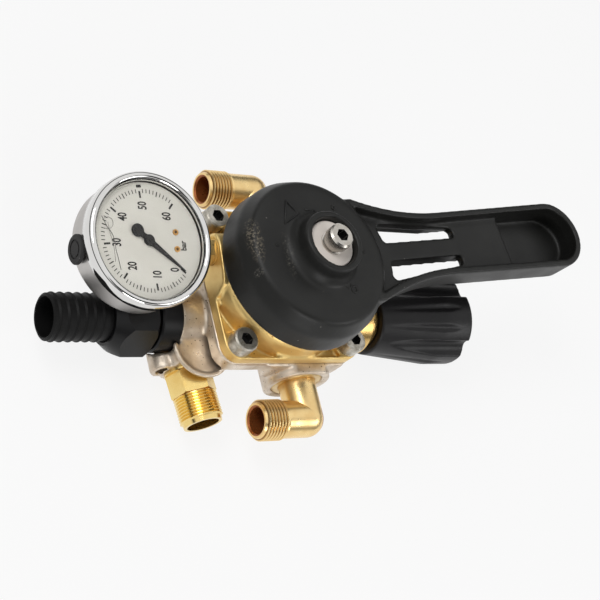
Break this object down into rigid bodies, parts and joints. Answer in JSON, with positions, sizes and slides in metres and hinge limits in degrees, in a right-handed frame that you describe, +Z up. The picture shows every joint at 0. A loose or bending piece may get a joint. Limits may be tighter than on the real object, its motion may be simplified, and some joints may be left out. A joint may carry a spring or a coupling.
{
  "type": "pressure regulating valve",
  "caption": "Brass pressure regulating valve with a black bypass lever, a liquid-filled dial gauge, an adjusting knob, a hose tail and threaded outlet elbows.",
  "frame": {"origin": "on the underside of the body, below the axis of the lever's spindle", "axes": "+Z up along the lever's spindle, +X towards the adjusting knob, -X towards the hose tail, -Y towards the inlet nipple"},
  "size_m": [0.3138, 0.151, 0.107],
  "materials": {
    "nickel_casting": "satin",
    "cast_brass": "satin",
    "turned_brass": "satin",
    "bright_brass": "polished",
    "black_moulding": "satin",
    "black_nylon": "satin",
    "zinc_steel": "satin",
    "stainless": "brushed",
    "polished_steel": "polished",
    "spring_steel": "satin",
    "seal_rubber": "matt",
    "white_washer": "satin",
    "clear_window": "clear",
    "dial_white": "matt",
    "pointer_black": "matt"
  },
  "bodies": {
    "housing": {"valve_body": "nickel_casting", "top_cover": "cast_brass", "cover_seal": "seal_rubber", "cover_screws": "zinc_steel", "stem_seal": "seal_rubber", "bypass_spring": "spring_steel", "gland": "turned_brass", "gland_seal": "seal_rubber", "relief_seat": "stainless", "hose_adaptor": "black_nylon", "union_nut": "black_nylon", "hose_tail": "black_nylon", "tail_seal": "seal_rubber", "hex_nipple": "bright_brass", "nipple_seal": "seal_rubber", "lower_ring_nut": "turned_brass", "upper_ring_nut": "turned_brass", "gauge_case": "stainless", "bezel": "polished_steel", "window": "clear_window", "window_seal": "seal_rubber", "dial": "dial_white", "dial_rivets": "turned_brass", "movement_frame": "turned_brass", "bourdon_tube": "turned_brass", "gauge_link": "turned_brass", "gauge_socket": "turned_brass", "gauge_seal": "seal_rubber", "fill_plug": "seal_rubber"},
    "stem_group": {"stem": "stainless", "valve_pad": "seal_rubber", "lever_washer": "white_washer", "lever_screw": "polished_steel"},
    "lever_group": {"lever": "black_moulding", "lever_bush": "turned_brass"},
    "spring_seat_group": {"spring_seat": "turned_brass"},
    "knob_group": {"spindle": "stainless", "knob": "black_moulding", "knob_screw": "zinc_steel"},
    "relief_group": {"relief_piston": "stainless", "piston_seal": "seal_rubber", "pressure_spring": "spring_steel"},
    "lower_elbow_group": {"lower_elbow": "turned_brass", "lower_elbow_seal": "seal_rubber"},
    "upper_elbow_group": {"upper_elbow": "turned_brass", "upper_elbow_seal": "seal_rubber"},
    "pointer_group": {"pointer": "pointer_black", "pinion_shaft": "turned_brass"},
    "sector_group": {"sector_gear": "turned_brass"}
  },
  "joints": [
    {"name": "stem_lift", "type": "slide", "parent": "housing", "child": "stem_group", "axis": [0, 0, 1], "range_m": [0, 0.003], "deforming": ["bypass_spring"]},
    {"name": "lever_turn", "type": "hinge", "parent": "stem_group", "child": "lever_group", "pos_m": [0, 0, 0.07], "axis": [0, 0, 1], "range_deg": [0, 110]},
    {"name": "seat_slide", "type": "slide", "parent": "housing", "child": "spring_seat_group", "axis": [1, 0, 0], "range_m": [0, 0.006]},
    {"name": "knob_turn", "type": "hinge", "parent": "spring_seat_group", "child": "knob_group", "pos_m": [0.095, -0.0088, 0.0255], "axis": [1, 0, 0], "range_deg": [0, 1080]},
    {"name": "relief_slide", "type": "slide", "parent": "housing", "child": "relief_group", "axis": [1, 0, 0], "range_m": [0, 0.0025], "stiffness_N_per_m": 5000, "springref_m": -0.01},
    {"name": "lower_elbow_swivel", "type": "hinge", "parent": "housing", "child": "lower_elbow_group", "pos_m": [0.0125, -0.04, 0.028], "axis": [0, 1, 0], "range_deg": [-60, 90]},
    {"name": "upper_elbow_swivel", "type": "hinge", "parent": "housing", "child": "upper_elbow_group", "pos_m": [0.0125, 0.04, 0.028], "axis": [0, 1, 0], "range_deg": [-60, 90]},
    {"name": "pointer_turn", "type": "hinge", "parent": "housing", "child": "pointer_group", "pos_m": [-0.08375, 0.0148, 0.05485], "axis": [0, 0.1977, -0.9803], "range_deg": [0, 270]},
    {"name": "sector_turn", "type": "hinge", "parent": "housing", "child": "sector_group", "pos_m": [-0.07475, 0.0148, 0.05485], "axis": [0, 0.1977, -0.9803], "range_deg": [-68, 0]}
  ],
  "couplings": [
    {"joint": "stem_lift", "follows": "lever_turn", "m_per_rad": 0.0015626},
    {"joint": "seat_slide", "follows": "knob_turn", "m_per_rad": 0.00031831},
    {"joint": "sector_turn", "follows": "pointer_turn", "ratio": -0.25}
  ]
}
